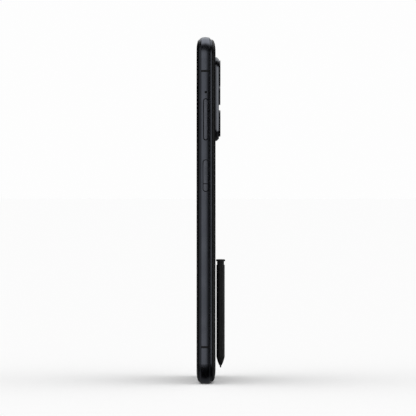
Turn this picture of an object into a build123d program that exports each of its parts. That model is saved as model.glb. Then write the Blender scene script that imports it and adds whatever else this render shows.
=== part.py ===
from build123d import *

import os

# A smartphone with a rounded metal band, two rolled-edge covers, a raised camera island,
# side keys, a card tray and a click stylus that rides on its back by magnets.
#
# Frame: origin at the middle of the bottom edge, in the plane the phone stands on.
# +X is the key side, -Y is the screen, +Y is the back, +Z is up. Millimetres.

# ---------------------------------------------------------------- overall body
body_width = 76.0
body_height = 163.1
corner_radius = 10.0

band_depth = 5.9          # the metal band, front edge to back edge
band_crown = 1.15         # how far the band bulges past its own edges
band_wall = 2.2           # from the crown to the inner wall
foot_flat = 0.42          # how much of the crown is planed off along the bottom edge
face_front = -2.1         # the band's main face runs between these two depths
face_back = 1.8
face_bulge = 0.33         # how far the main face bulges between its two edges
lip_front = 2.3           # the narrow lip beside the rear cover starts here
edge_reveal = 0.1         # the step from the band's edge in to the glass
glue_line = 0.1

glass_edge_depth = 1.27
glass_thickness = 0.65
glass_roll = 5.0          # how far in the front glass starts to roll over
cover_edge_depth = 1.575
cover_thickness = 0.75
cover_roll = 5.5
rim_width = 2.6           # the thick rim inside each rolled edge
rim_overlap = 1.0         # the flat sheet runs this far into the rolled edge
glue_width = 0.7

plate_thickness = 0.5     # the floor plate of the metal frame
plate_overlap = 0.3

half_width = body_width / 2
body_middle = (body_height - foot_flat) / 2
band_edge = half_width - band_crown
glass_edge = band_edge - edge_reveal
inner_wall = half_width - band_wall
inner_top = body_height - band_wall
inner_bottom = band_wall - foot_flat
band_front = -band_depth / 2
band_back = band_depth / 2
glass_back = band_front - glue_line
front_face = glass_back - glass_edge_depth
cover_front = band_back + glue_line
back_face = cover_front + cover_edge_depth
plate_back = band_front + plate_thickness
cover_inside = back_face - cover_thickness
cover_outline_inset = band_crown + edge_reveal

# ---------------------------------------------------------------- display
panel_thickness = 0.4
panel_gap = 0.1
backing_thickness = 0.15
display_flex_width = 10.0
display_flex_height = 24.6
flex_thickness = 0.15

panel_front = front_face + glass_thickness
panel_back = panel_front + panel_thickness
panel_inset = cover_outline_inset + rim_width + panel_gap

# ---------------------------------------------------------------- side keys and side holes
key_clearance = 0.12
key_travel = 0.25
key_lip = 0.4             # the retaining lip is this much wider than the key, each side
key_lip_thickness = 0.6
key_lip_gap = 0.4
volume_key_length = 19.3
volume_key_width = 2.0
volume_key_proud = 0.35
volume_key_below_top = 38.75
power_key_length = 14.8
power_key_width = 2.5
power_key_proud = 0.08
power_key_below_top = 65.1
power_groove_below_top = 68.9
power_groove_width = 0.45
power_groove_depth = 0.14
switch_width = 1.4
switch_gap = 0.1
switch_height = 0.7
volume_switch_offset = 6.0
microphone_hole_radius = 0.475
side_microphone_below_top = 26.0
key_flex_margin = 3.0

volume_key_middle = body_height - volume_key_below_top
power_key_middle = body_height - power_key_below_top
side_microphone_height = body_height - side_microphone_below_top
key_lip_back = inner_wall - key_lip_gap - key_lip_thickness
switch_face = key_lip_back - key_travel - switch_gap
key_flex_face = switch_face - switch_height

# ---------------------------------------------------------------- antenna breaks
break_width = 1.0
low_break_height = 17.1
high_break_below_top = 16.6
high_break_height = body_height - high_break_below_top

# ---------------------------------------------------------------- camera island
island_width = 34.0
island_height = 39.5
island_corner = 5.8
island_rise = 1.59
island_bevel = 1.05
island_from_edge = 6.5
island_below_top = 9.4
island_neck_inset = 1.0
island_hole_clearance = 0.1

ring_rise = 0.73
ring_fillet = 0.3
ring_neck_depth = 1.2
lens_glass_thickness = 0.4
lens_glass_recess = 0.2
big_ring_radius = 6.25
big_neck_radius = 5.5
big_glass_radius = 5.0
big_window_radius = 4.4
small_ring_radius = 4.4
small_neck_radius = 3.7
small_glass_radius = 3.3
small_window_radius = 2.8
lens_column_from_edge = 15.7
small_column_from_edge = 31.0
main_lens_below_top = 17.1
macro_lens_below_top = 27.45
wide_lens_below_top = 40.6
flash_below_top = 42.6
flash_radius = 2.8
flash_pocket_depth = 0.9
flash_led_thickness = 0.3
flash_led_width = 2.4

camera_gap = 0.1
main_housing = 11.0
wide_housing = 9.5
macro_housing = 6.5
housing_top = 2.6
barrel_clearance = 0.1
barrel_floor = 0.45
main_barrel_radius = 3.6
wide_barrel_radius = 3.0
barrel_step = 0.5
barrel_length = 4.8
barrel_pit = 0.4
macro_barrel_radius = 2.3
macro_barrel_top = 4.9

island_right = half_width - island_from_edge
island_left = island_right - island_width
island_top = body_height - island_below_top
island_bottom = island_top - island_height
island_x = (island_left + island_right) / 2
island_z = (island_top + island_bottom) / 2
deck_face = back_face + island_rise
lens_x = half_width - lens_column_from_edge
small_x = half_width - small_column_from_edge
main_lens_z = body_height - main_lens_below_top
macro_lens_z = body_height - macro_lens_below_top
wide_lens_z = body_height - wide_lens_below_top
flash_z = body_height - flash_below_top
camera_floor = plate_back + camera_gap

# ---------------------------------------------------------------- front camera and earpiece
front_camera_size = 6.0
front_camera_below_top = 6.3
front_camera_depth = 2.8
front_barrel_radius = 1.7
front_barrel_clearance = 0.3
slit_length = 12.0
slit_height = 0.45
slit_depth = 0.8
mesh_clearance = 0.05
earpiece_length = 12.6
earpiece_height = 6.8
earpiece_depth = 3.0
earpiece_gap = 1.5

front_camera_z = body_height - front_camera_below_top
glass_top = body_height - cover_outline_inset

# ---------------------------------------------------------------- boards
board_gap = 2.2           # the boards stand this far in from the side walls
board_thickness = 0.7
main_board_below_top = 52.1
main_board_strip = 4.5
main_board_camera_gap = 0.8
shield_height = 1.5
shield_gap = 1.3
processor_size = 12.0
processor_height = 1.0
shield_wall = 0.2
spreader_thickness = 0.3
spreader_inset = 2.0

board_left = -inner_wall + board_gap
board_bottom = body_height - main_board_below_top
board_step_x = small_x - macro_housing / 2 - main_board_camera_gap
board_strip_top = board_bottom + main_board_strip
board_right = key_flex_face - board_gap / 2
board_top = main_lens_z + main_housing / 2

# ---------------------------------------------------------------- card tray
tray_below_top = 27.5
tray_length = 21.5
tray_width = 13.6
tray_thickness = 1.2
tray_offset = -1.0        # the tray sits off the cap's middle, beside the release hole
tray_clearance = 0.1
tray_rim = 0.9
card_length = 8.8
card_step = 0.4
cap_length = 17.4
cap_width = 2.5
cap_thickness = 1.05
cap_clearance = 0.1
release_hole_radius = 0.45
release_hole_offset = 7.2
seal_thickness = 0.45
seal_inset = 0.2
seal_hole_margin = 0.12
tray_recess_depth = 1.65
socket_wall = 0.3
socket_clearance = 0.15
socket_end_gap = 0.5

tray_z = body_height - tray_below_top
tray_plate_z = tray_z + tray_offset
board_back = -tray_thickness / 2 - socket_clearance - socket_wall
board_front = board_back - board_thickness
cap_inside = -half_width + cap_thickness
seal_inside = cap_inside + seal_thickness
tray_end = seal_inside + tray_length
socket_end = tray_end + socket_end_gap

# ---------------------------------------------------------------- stylus and its silo
stylus_radius = 1.975
stylus_cap_radius = 2.175
stylus_bottom = 7.1
nib_radius = 0.35
nib_exposed = 1.0
nib_shaft_radius = 0.5
nib_shaft_length = 8.0
nib_travel = 0.3
nib_clearance = 0.06
cone_height = 4.2
cone_mouth_radius = 0.56
cone_shoulder_radius = 1.5
cone_shoulder_height = 2.3
cone_spigot = 2.0
barrel_tube_length = 43.4
stylus_wall = 0.27
cap_stop_gap = 0.5
cap_flange = 0.9
cap_dome = 0.9
neck_clearance = 0.05
neck_buried = 3.2
cap_travel = 1.2
spring_radius = 0.9
spring_wire = 0.14
spring_pitch = 0.8
spring_turns = 5
core_radius = 1.1
core_length = 24.0
core_gap = 1.0
core_stem_radius = 0.5
spring_seat = 0.8
stylus_from_edge = 18.0
stylus_gap = 0.2          # from the rear cover to the cap's rim
silo_from_edge = 13.0
silo_clearance = 0.12
silo_wall = 0.3
silo_end_gap = 0.8
silo_end_wall = 0.8
silo_mouth_clearance = 0.2
silo_seat_depth = 0.4     # how far the tube stands into the frame's bottom wall
silo_seat_clearance = 0.05
magnet_size = 3.0
magnet_length = 6.0
magnet_thickness = 0.5
magnet_gap = 0.08
low_magnet_height = 20.0
high_magnet_height = 46.0

stylus_x = half_width - stylus_from_edge
stylus_y = back_face + stylus_gap + stylus_cap_radius
cone_bottom = stylus_bottom + nib_exposed
cone_top = cone_bottom + cone_height
tube_top = cone_top + barrel_tube_length
flange_bottom = tube_top + cap_travel + cap_stop_gap
cap_top = flange_bottom + cap_flange + cap_dome
stylus_length = cap_top - stylus_bottom
stylus_bore = stylus_radius - stylus_wall
neck_bottom = tube_top - neck_buried
spring_bottom = neck_bottom - spring_pitch * spring_turns - 2 * spring_wire
silo_x = half_width - silo_from_edge
silo_radius = stylus_radius + silo_clearance
silo_outer = silo_radius + silo_wall
silo_bottom = inner_bottom - silo_seat_depth
silo_end = stylus_length + silo_end_gap
silo_mouth = stylus_cap_radius + silo_mouth_clearance

# ---------------------------------------------------------------- battery and what crosses it
battery_gap = 0.1
battery_side_gap = 1.6
battery_bottom = 33.0
battery_board_gap = 2.0
battery_back_gap = 0.6
battery_corner = 1.5
coax_radius = 0.4
coax_gap = 0.4
coax_plug_radius = 0.9
coax_bend = 2.0
coil_radius = 22.0
coil_hole_radius = 9.0
coil_thickness = 0.35
coil_under_cover = 0.12
main_flex_width = 7.0
main_flex_from_side = 3.0
battery_flex_width = 8.0
battery_flex_length = 5.6

battery_left = -inner_wall + battery_side_gap
coax_x = silo_x - silo_outer - coax_gap - coax_radius
battery_right = coax_x - coax_radius - coax_gap
battery_top = board_bottom - battery_board_gap
battery_front = plate_back + battery_gap
battery_back = band_back - battery_back_gap
battery_x = (battery_left + battery_right) / 2

# ---------------------------------------------------------------- bottom end
usb_width = 8.94
usb_depth = 3.26
usb_shell = 0.3
usb_length = 8.0
usb_recess = 0.4
usb_clearance = 0.05
usb_tongue_width = 6.7
usb_tongue_thickness = 0.7
usb_back_wall = 0.8
speaker_hole_radius = 0.55
speaker_hole_pitch = 2.0
speaker_hole_count = 6
speaker_x = 13.9
speaker_width = 13.4
speaker_top = 20.0
speaker_mesh_thickness = 0.15
microphone_x = -9.5
microphone_size = 3.0
microphone_depth = 1.1
motor_length = 15.0
motor_height = 9.0
motor_depth = 3.3
motor_wall = 0.4
motor_from_edge = 9.0
motor_bottom = 9.2
motor_swing = 0.3
motor_swing_gap = 0.5
motor_gap = 0.12
sub_board_bottom = 21.0
sub_board_tab_bottom = 9.0
sub_board_gap = 0.05
sub_board_thickness = 0.6
sub_board_side_gap = 0.6

usb_bottom = usb_recess
usb_top = usb_bottom + usb_length
sub_board_front = usb_depth / 2 + sub_board_gap
sub_board_back = sub_board_front + sub_board_thickness
sub_board_top = battery_bottom - battery_board_gap
speaker_left = speaker_x - speaker_width / 2
speaker_right = speaker_x + speaker_width / 2
motor_left = -half_width + motor_from_edge

# ---------------------------------------------------------------- inner covers and screws
screw_radius = 0.6
screw_head_radius = 1.2
screw_head_height = 0.5
screw_reach = 1.8
boss_radius = 1.5
boss_clearance = 0.2
lower_boss_gap = 0.4
upper_boss_top = 1.6
inner_cover_thickness = 0.6
cover_side_gap = 0.4

lower_boss_top = band_back - lower_boss_gap

upper_screws = [
    (-half_width + 6.2, body_height - 10.5),
    (-half_width + 6.2, body_height - 46.0),
    (board_step_x - 3.2, body_height - 49.0),
    (half_width - 8.2, body_height - 6.6),
]
lower_screws = [
    (-half_width + 5.6, 27.5),
    (battery_right - 9.0, 26.0),
    (-half_width + 7.0, 7.2),
    (microphone_x - 1.2, 15.0),
]


def at_depth(y):
    """A drawing plane facing the screen side, with x across and z up, at depth y."""
    return Plane.XZ.offset(-y)


def save(piece, name):
    """Label a finished sub-part and write it out."""
    piece.part.label = name
    export_step(piece.part, f"parts/{name}.step")


def body_outline(inset):
    """The phone's rounded outline, drawn this far inside the crown of the band."""
    with Locations((0, body_middle)):
        RectangleRounded(
            body_width - 2 * inset, body_height + foot_flat - 2 * inset, corner_radius - inset
        )


def rectangle_between(left, right, bottom, top):
    """A plain rectangle between two x and two z values."""
    with Locations(((left + right) / 2, (bottom + top) / 2)):
        Rectangle(right - left, top - bottom)


def crown_path():
    """The closed line along the crown of the band, from half-way up the key side."""
    corner_x = half_width - corner_radius
    high = body_height - corner_radius
    low = corner_radius - foot_flat
    with BuildLine(Plane.XZ) as loop:
        Line((half_width, body_middle), (half_width, high))
        CenterArc((corner_x, high), corner_radius, 0, 90)
        Line((corner_x, body_height), (-corner_x, body_height))
        CenterArc((-corner_x, high), corner_radius, 90, 90)
        Line((-half_width, high), (-half_width, low))
        CenterArc((-corner_x, low), corner_radius, 180, 90)
        Line((-corner_x, -foot_flat), (corner_x, -foot_flat))
        CenterArc((corner_x, low), corner_radius, 270, 90)
        Line((half_width, low), (half_width, body_middle))
    return loop.wires()[0]


def band_section(height, side=1, proud=0.0, inside=inner_wall):
    """The band's section across one side wall at the given height: main face, two bevels and a lip."""
    with BuildSketch(Plane.XY.offset(height)) as section:
        with BuildLine():
            ThreePointArc(
                (side * (half_width - face_bulge + proud), face_front),
                (side * (half_width + proud), (face_front + face_back) / 2),
                (side * (half_width - face_bulge + proud), face_back),
            )
            Polyline(
                (side * (half_width - face_bulge + proud), face_back),
                (side * (band_edge + proud), lip_front),
                (side * (band_edge + proud), band_back),
                (side * inside, band_back),
                (side * inside, band_front),
                (side * (band_edge + proud), band_front),
                (side * (half_width - face_bulge + proud), face_front),
            )
        make_face()
    return section.sketch


def face_section(height, side):
    """The part of the band's section that lies behind its main face only."""
    with BuildSketch(Plane.XY.offset(height)) as section:
        with BuildLine():
            ThreePointArc(
                (side * (half_width - face_bulge), face_front),
                (side * half_width, (face_front + face_back) / 2),
                (side * (half_width - face_bulge), face_back),
            )
            Polyline(
                (side * (half_width - face_bulge), face_back),
                (side * inner_wall, face_back),
                (side * inner_wall, face_front),
                (side * (half_width - face_bulge), face_front),
            )
        make_face()
    return section.sketch


def rolled_sheet(rim, face, roll, thickness):
    """A cover sheet whose edge rolls over in a quarter ellipse, with a thick rim inside it."""
    toward_face = 1 if face > rim else -1
    inside = face - toward_face * thickness
    sheet_end = glass_edge - roll - rim_overlap
    with BuildSketch(Plane.XY.offset(body_middle)) as rolled_edge:
        with BuildLine():
            EllipticalCenterArc(
                (glass_edge - roll, rim), roll, abs(face - rim), 0 if face > rim else 270, arc_size=90
            )
            Polyline(
                (glass_edge, rim),
                (glass_edge - rim_width, rim),
                (glass_edge - rim_width, inside),
                (sheet_end, inside),
                (sheet_end, face),
                (glass_edge - roll, face),
            )
        make_face()
    sweep(rolled_edge.sketch, path=crown_path())
    with BuildSketch(at_depth(max(face, inside))) as sheet:
        body_outline(cover_outline_inset + roll + rim_overlap / 2)
    extrude(sheet.sketch, amount=thickness)


def flat_ring(name, outer_inset, width, front, back):
    """A thin ring that follows the phone's outline between two depths."""
    with BuildPart() as ring:
        with BuildSketch(at_depth(back)):
            body_outline(outer_inset)
        extrude(amount=back - front)
        with BuildSketch(at_depth(back)):
            body_outline(outer_inset + width)
        extrude(amount=back - front, mode=Mode.SUBTRACT)
    save(ring, name)


def block(name, across, depth, up, corner=0.0):
    """A block between the given x, y and z limits, its upright corners rounded."""
    with BuildPart() as piece:
        with BuildSketch(at_depth(depth[1])):
            with Locations(((across[0] + across[1]) / 2, (up[0] + up[1]) / 2)):
                if corner > 0:
                    RectangleRounded(across[1] - across[0], up[1] - up[0], corner)
                else:
                    Rectangle(across[1] - across[0], up[1] - up[0])
        extrude(amount=depth[1] - depth[0])
    save(piece, name)


def disc(x, z, radius, front, back, mode=Mode.ADD):
    """A round boss or hole along y, in the part being built."""
    with BuildSketch(at_depth(back)) as circle:
        with Locations((x, z)):
            Circle(radius)
    extrude(circle.sketch, amount=back - front, mode=mode)


def side_slot(height, length, width, start, depth, mode=Mode.ADD):
    """A round-ended bar across a side wall, from x = start, in the part being built."""
    with BuildSketch(Plane.YZ.offset(start)) as slot:
        with Locations((0, height)):
            SlotOverall(length, width, rotation=90)
    extrude(slot.sketch, amount=depth, mode=mode)


# ================================================================ display stack
def make_front_glass():
    with BuildPart() as front_glass:
        rolled_sheet(glass_back, front_face, glass_roll, glass_thickness)
        with BuildSketch(at_depth(glass_back)):
            with Locations((0, glass_top)):
                SlotOverall(slit_length, 2 * slit_height)
        extrude(amount=glass_edge_depth, mode=Mode.SUBTRACT)
    save(front_glass, "front_glass")


def make_display_layer(name, front, back):
    with BuildPart() as layer:
        with BuildSketch(at_depth(back)):
            body_outline(panel_inset)
        extrude(amount=back - front)
        disc(0, front_camera_z, front_barrel_radius + front_barrel_clearance, front, back, Mode.SUBTRACT)
    save(layer, name)


def make_display_flex():
    flex_back = sub_board_front
    with BuildPart() as display_flex:
        with BuildSketch(at_depth(flex_back)):
            rectangle_between(
                -display_flex_width / 2,
                display_flex_width / 2,
                display_flex_height,
                display_flex_height + flex_thickness,
            )
        extrude(amount=flex_back - panel_back - backing_thickness)
        with BuildSketch(at_depth(flex_back)):
            rectangle_between(
                -display_flex_width / 2, display_flex_width / 2, display_flex_height, sub_board_top - 2.0
            )
        extrude(amount=flex_thickness)
    save(display_flex, "display_flex")


def make_earpiece_mesh():
    with BuildPart() as earpiece_mesh:
        with BuildSketch(at_depth(glass_back)):
            with Locations((0, glass_top - slit_height / 2)):
                Rectangle(slit_length - 2 * slit_height, slit_height - 2 * mesh_clearance)
        extrude(amount=slit_depth)
    save(earpiece_mesh, "earpiece_mesh")


# ================================================================ metal frame
def cut_key_slots():
    wall_cut = band_wall + 2 * key_lip
    for middle, length, width in (
        (volume_key_middle, volume_key_length, volume_key_width),
        (power_key_middle, power_key_length, power_key_width),
    ):
        side_slot(
            middle,
            length + 2 * key_clearance,
            width + 2 * key_clearance,
            inner_wall - key_lip,
            wall_cut,
            Mode.SUBTRACT,
        )


def cut_side_microphone():
    with BuildSketch(Plane.YZ.offset(inner_wall - plate_overlap)) as hole:
        with Locations((0, side_microphone_height)):
            Circle(microphone_hole_radius)
    extrude(hole.sketch, amount=band_wall + plate_overlap, mode=Mode.SUBTRACT)


def cut_tray_slot():
    side_slot(
        tray_z,
        cap_length + 2 * cap_clearance,
        cap_width + 2 * cap_clearance,
        -half_width,
        tray_recess_depth,
        Mode.SUBTRACT,
    )
    with BuildSketch(Plane.YZ.offset(-half_width)) as opening:
        with Locations((0, tray_plate_z)):
            Rectangle(tray_thickness + 2 * tray_clearance, tray_width + 2 * tray_clearance)
        with Locations((0, tray_z + release_hole_offset)):
            Circle(release_hole_radius)
    extrude(opening.sketch, amount=band_wall + plate_overlap, mode=Mode.SUBTRACT)


def cut_bottom_openings():
    wall_cut = inner_bottom + plate_overlap
    with BuildSketch(Plane.XY) as openings:
        SlotOverall(usb_width + 2 * usb_clearance, usb_depth + 2 * usb_clearance)
        with Locations((speaker_x, 0)):
            with GridLocations(speaker_hole_pitch, 0, speaker_hole_count, 1):
                Circle(speaker_hole_radius)
        with Locations((microphone_x, 0)):
            Circle(microphone_hole_radius)
        with Locations((silo_x, 0)):
            Circle(silo_mouth)
    extrude(openings.sketch, amount=wall_cut, mode=Mode.SUBTRACT)
    with BuildSketch(Plane.XY.offset(silo_bottom)) as seat:
        with Locations((silo_x, 0)):
            Circle(silo_outer + silo_seat_clearance)
    extrude(seat.sketch, amount=silo_end - silo_bottom, mode=Mode.SUBTRACT)


def cut_antenna_breaks():
    for side in (1, -1):
        for height in (low_break_height, high_break_height):
            extrude(face_section(height, side), amount=break_width, mode=Mode.SUBTRACT)


def cut_floor_plate():
    camera_hole = front_barrel_radius + front_barrel_clearance
    disc(0, front_camera_z, camera_hole, band_front, plate_back, Mode.SUBTRACT)
    with BuildSketch(at_depth(plate_back)) as flex_slot:
        rectangle_between(
            -display_flex_width / 2 - plate_overlap,
            display_flex_width / 2 + plate_overlap,
            display_flex_height - plate_overlap,
            display_flex_height + flex_thickness + plate_overlap,
        )
    extrude(flex_slot.sketch, amount=plate_thickness, mode=Mode.SUBTRACT)


def add_screw_bosses(places, top):
    for x, z in places:
        disc(x, z, boss_radius, band_front, top)
        disc(x, z, screw_radius, top - screw_reach, top, Mode.SUBTRACT)


def make_mid_frame():
    with BuildPart() as mid_frame:
        sweep(band_section(body_middle), path=crown_path())
        with BuildSketch(at_depth(plate_back)):
            body_outline(band_wall - plate_overlap)
        extrude(amount=plate_thickness)
        with BuildSketch(Plane.XY):
            Rectangle(body_width, 2 * band_depth)
        extrude(amount=-foot_flat, mode=Mode.SUBTRACT)
        cut_antenna_breaks()
        cut_key_slots()
        cut_side_microphone()
        cut_tray_slot()
        cut_bottom_openings()
        cut_floor_plate()
        add_screw_bosses(upper_screws, upper_boss_top)
        add_screw_bosses(lower_screws, lower_boss_top)
    save(mid_frame, "mid_frame")


def make_antenna_breaks():
    with BuildPart() as antenna_breaks:
        for side in (1, -1):
            for height in (low_break_height, high_break_height):
                extrude(face_section(height, side), amount=break_width)
    save(antenna_breaks, "antenna_breaks")


def make_chassis_screws():
    with BuildPart() as chassis_screws:
        for places, boss_top in ((upper_screws, upper_boss_top), (lower_screws, lower_boss_top)):
            head_bottom = boss_top + inner_cover_thickness
            for x, z in places:
                disc(x, z, screw_radius, boss_top - screw_reach, head_bottom)
                disc(x, z, screw_head_radius, head_bottom, head_bottom + screw_head_height)
    save(chassis_screws, "chassis_screws")


# ================================================================ keys
def make_key(name, middle, length, width, proud, groove=None):
    with BuildPart() as key:
        key_bar = band_section(middle - length, 1, proud, inner_wall - key_lip_gap)
        extrude(key_bar, amount=2 * length)
        side_slot(middle, length, width, inner_wall - key_lip_gap, band_wall + key_lip_gap + proud,
                  Mode.INTERSECT)
        side_slot(middle, length + 2 * key_lip, width + 2 * key_lip, key_lip_back, key_lip_thickness)
        if groove is None:
            fillet(key.faces().sort_by(Axis.X)[-1].edges(), 0.3)
        else:
            with BuildSketch(Plane.XY.offset(groove - power_groove_width / 2)):
                with Locations((half_width + proud, 0)):
                    Rectangle(2 * power_groove_depth, 2 * width)
            extrude(amount=power_groove_width, mode=Mode.SUBTRACT)
    save(key, name)


def make_key_flex():
    bottom = power_key_middle - power_key_length / 2 - key_flex_margin
    top = volume_key_middle + volume_key_length / 2 + key_flex_margin
    with BuildPart() as key_flex:
        with BuildSketch(Plane.YZ.offset(key_flex_face)):
            with Locations((0, (bottom + top) / 2)):
                Rectangle(volume_key_width + 2 * key_lip, top - bottom)
        extrude(amount=-flex_thickness)
        for height in (
            power_key_middle,
            volume_key_middle - volume_switch_offset,
            volume_key_middle + volume_switch_offset,
        ):
            with BuildSketch(Plane.YZ.offset(key_flex_face)):
                with Locations((0, height)):
                    Rectangle(switch_width, 2 * switch_width)
            extrude(amount=switch_height)
    save(key_flex, "key_flex")


# ================================================================ card tray
def make_sim_tray():
    with BuildPart() as sim_tray:
        extrude(band_section(tray_z - cap_length, -1), amount=2 * cap_length)
        side_slot(tray_z, cap_length, cap_width, -half_width, cap_thickness, Mode.INTERSECT)
        with BuildSketch(Plane.YZ.offset(-half_width)):
            with Locations((0, tray_z + release_hole_offset)):
                Circle(release_hole_radius)
        extrude(amount=cap_thickness, mode=Mode.SUBTRACT)
        with BuildSketch(Plane.YZ.offset(cap_inside)):
            with Locations((0, tray_plate_z)):
                Rectangle(tray_thickness, tray_width)
        extrude(amount=tray_end - cap_inside)
        card_width = tray_width - 2 * tray_rim
        for number in range(2):
            card_end = tray_end - tray_rim - number * (card_length + tray_rim)
            with BuildSketch(at_depth(tray_thickness / 2)):
                rectangle_between(
                    card_end - card_length,
                    card_end,
                    tray_plate_z - card_width / 2,
                    tray_plate_z + card_width / 2,
                )
            extrude(amount=tray_thickness - card_step, mode=Mode.SUBTRACT)
            with BuildSketch(at_depth(tray_thickness / 2)):
                rectangle_between(
                    card_end - card_length + card_step,
                    card_end - card_step,
                    tray_plate_z - card_width / 2 + card_step,
                    tray_plate_z + card_width / 2 - card_step,
                )
            extrude(amount=tray_thickness, mode=Mode.SUBTRACT)
    save(sim_tray, "sim_tray")


def make_sim_tray_seal():
    with BuildPart() as sim_tray_seal:
        side_slot(tray_z, cap_length - 2 * seal_inset, cap_width - 2 * seal_inset, cap_inside, seal_thickness)
        with BuildSketch(Plane.YZ.offset(cap_inside)):
            with Locations((0, tray_plate_z)):
                Rectangle(tray_thickness, tray_width)
            with Locations((0, tray_z + release_hole_offset)):
                Circle(release_hole_radius + seal_hole_margin)
        extrude(amount=seal_thickness, mode=Mode.SUBTRACT)
    save(sim_tray_seal, "sim_tray_seal")


def make_sim_socket():
    cavity_width = tray_width + 2 * socket_clearance
    cavity_thickness = tray_thickness + 2 * socket_clearance
    socket_start = -inner_wall + socket_clearance
    with BuildPart() as sim_socket:
        with BuildSketch(Plane.YZ.offset(socket_start)):
            with Locations((0, tray_plate_z)):
                Rectangle(cavity_thickness + 2 * socket_wall, cavity_width + 2 * socket_wall)
        extrude(amount=socket_end + socket_wall - socket_start)
        with BuildSketch(Plane.YZ.offset(socket_start)):
            with Locations((0, tray_plate_z)):
                Rectangle(cavity_thickness, cavity_width)
        extrude(amount=socket_end - socket_start, mode=Mode.SUBTRACT)
    save(sim_socket, "sim_socket")


# ================================================================ rear cover and cameras
def island_outline(inset):
    with Locations((island_x, island_z)):
        RectangleRounded(island_width - 2 * inset, island_height - 2 * inset, island_corner - inset)


def make_rear_cover():
    with BuildPart() as rear_cover:
        rolled_sheet(cover_front, back_face, cover_roll, cover_thickness)
        with BuildSketch(at_depth(back_face)):
            island_outline(island_neck_inset - island_hole_clearance)
        extrude(amount=cover_thickness, mode=Mode.SUBTRACT)
    save(rear_cover, "rear_cover")


def make_camera_island():
    with BuildPart() as camera_island:
        with BuildSketch(at_depth(deck_face)):
            island_outline(0)
        extrude(amount=island_rise)
        chamfer(camera_island.faces().sort_by(Axis.Y)[-1].edges(), island_bevel)
        with BuildSketch(at_depth(back_face)):
            island_outline(island_neck_inset)
        extrude(amount=cover_thickness)
        disc(lens_x, main_lens_z, big_neck_radius, cover_inside, deck_face, Mode.SUBTRACT)
        disc(lens_x, wide_lens_z, big_neck_radius, cover_inside, deck_face, Mode.SUBTRACT)
        disc(small_x, macro_lens_z, small_neck_radius, cover_inside, deck_face, Mode.SUBTRACT)
        disc(small_x, flash_z, flash_radius, deck_face - flash_pocket_depth, deck_face, Mode.SUBTRACT)
    save(camera_island, "camera_island")


def make_camera_ring(name, x, z, ring_radius, neck_radius, glass_radius, window_radius):
    ring_face = deck_face + ring_rise
    glass_seat = ring_face - lens_glass_recess - lens_glass_thickness
    with BuildPart() as ring:
        disc(x, z, ring_radius, deck_face, ring_face)
        fillet(ring.faces().sort_by(Axis.Y)[-1].edges(), ring_fillet)
        disc(x, z, neck_radius, deck_face - ring_neck_depth, deck_face)
        disc(x, z, window_radius, deck_face - ring_neck_depth, ring_face, Mode.SUBTRACT)
        disc(x, z, glass_radius, glass_seat, ring_face, Mode.SUBTRACT)
    save(ring, f"{name}_ring")
    with BuildPart() as glass:
        disc(x, z, glass_radius, glass_seat, glass_seat + lens_glass_thickness)
    save(glass, f"{name}_glass")


def make_focus_camera(name, x, z, housing_size, barrel_radius):
    with BuildPart() as module:
        with BuildSketch(at_depth(housing_top)):
            with Locations((x, z)):
                Rectangle(housing_size, housing_size)
        extrude(amount=housing_top - camera_floor)
        disc(x, z, barrel_radius + barrel_clearance, 0, housing_top, Mode.SUBTRACT)
    save(module, f"{name}_camera_module")
    barrel_end = barrel_floor + barrel_length
    with BuildPart() as barrel:
        disc(x, z, barrel_radius, barrel_floor, housing_top)
        disc(x, z, barrel_radius - barrel_step, housing_top, barrel_end)
        disc(x, z, barrel_radius - 2 * barrel_step, barrel_end - barrel_pit, barrel_end, Mode.SUBTRACT)
    save(barrel, f"{name}_lens_barrel")


def make_macro_camera():
    with BuildPart() as macro_camera_module:
        with BuildSketch(at_depth(housing_top)):
            with Locations((small_x, macro_lens_z)):
                Rectangle(macro_housing, macro_housing)
        extrude(amount=housing_top - camera_floor)
        disc(small_x, macro_lens_z, macro_barrel_radius, housing_top, macro_barrel_top)
    save(macro_camera_module, "macro_camera_module")


def make_flash():
    pocket_floor = deck_face - flash_pocket_depth
    led_face = pocket_floor + flash_led_thickness
    block(
        "flash_led",
        (small_x - flash_led_width / 2, small_x + flash_led_width / 2),
        (pocket_floor, led_face),
        (flash_z - flash_led_width / 2, flash_z + flash_led_width / 2),
    )
    with BuildPart() as flash_lens:
        disc(small_x, flash_z, flash_radius, led_face, deck_face)
    save(flash_lens, "flash_lens")


# ================================================================ inside, top end
def make_front_camera():
    half = front_camera_size / 2
    with BuildPart() as front_camera:
        with BuildSketch(at_depth(camera_floor + front_camera_depth)):
            rectangle_between(-half, half, front_camera_z - half, front_camera_z + half)
        extrude(amount=front_camera_depth)
        disc(0, front_camera_z, front_barrel_radius, panel_front, camera_floor)
    save(front_camera, "front_camera")


def make_main_board():
    with BuildPart() as main_board:
        with BuildSketch(at_depth(board_back)):
            rectangle_between(board_left, board_step_x, board_bottom, board_top)
            rectangle_between(board_left, board_right, board_bottom, board_strip_top)
            with Locations(*upper_screws):
                Circle(boss_radius + boss_clearance, mode=Mode.SUBTRACT)
        extrude(amount=board_thickness)
    save(main_board, "main_board")


def shield_can(left, right, bottom, top):
    """A thin metal can over one stretch of the main board."""
    with BuildSketch(at_depth(board_back + shield_height)) as outside:
        rectangle_between(left, right, bottom, top)
    extrude(outside.sketch, amount=shield_height)
    with BuildSketch(at_depth(board_back + shield_height - shield_wall)) as inside:
        rectangle_between(left + shield_wall, right - shield_wall, bottom + shield_wall, top - shield_wall)
    extrude(inside.sketch, amount=shield_height - shield_wall, mode=Mode.SUBTRACT)


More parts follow.
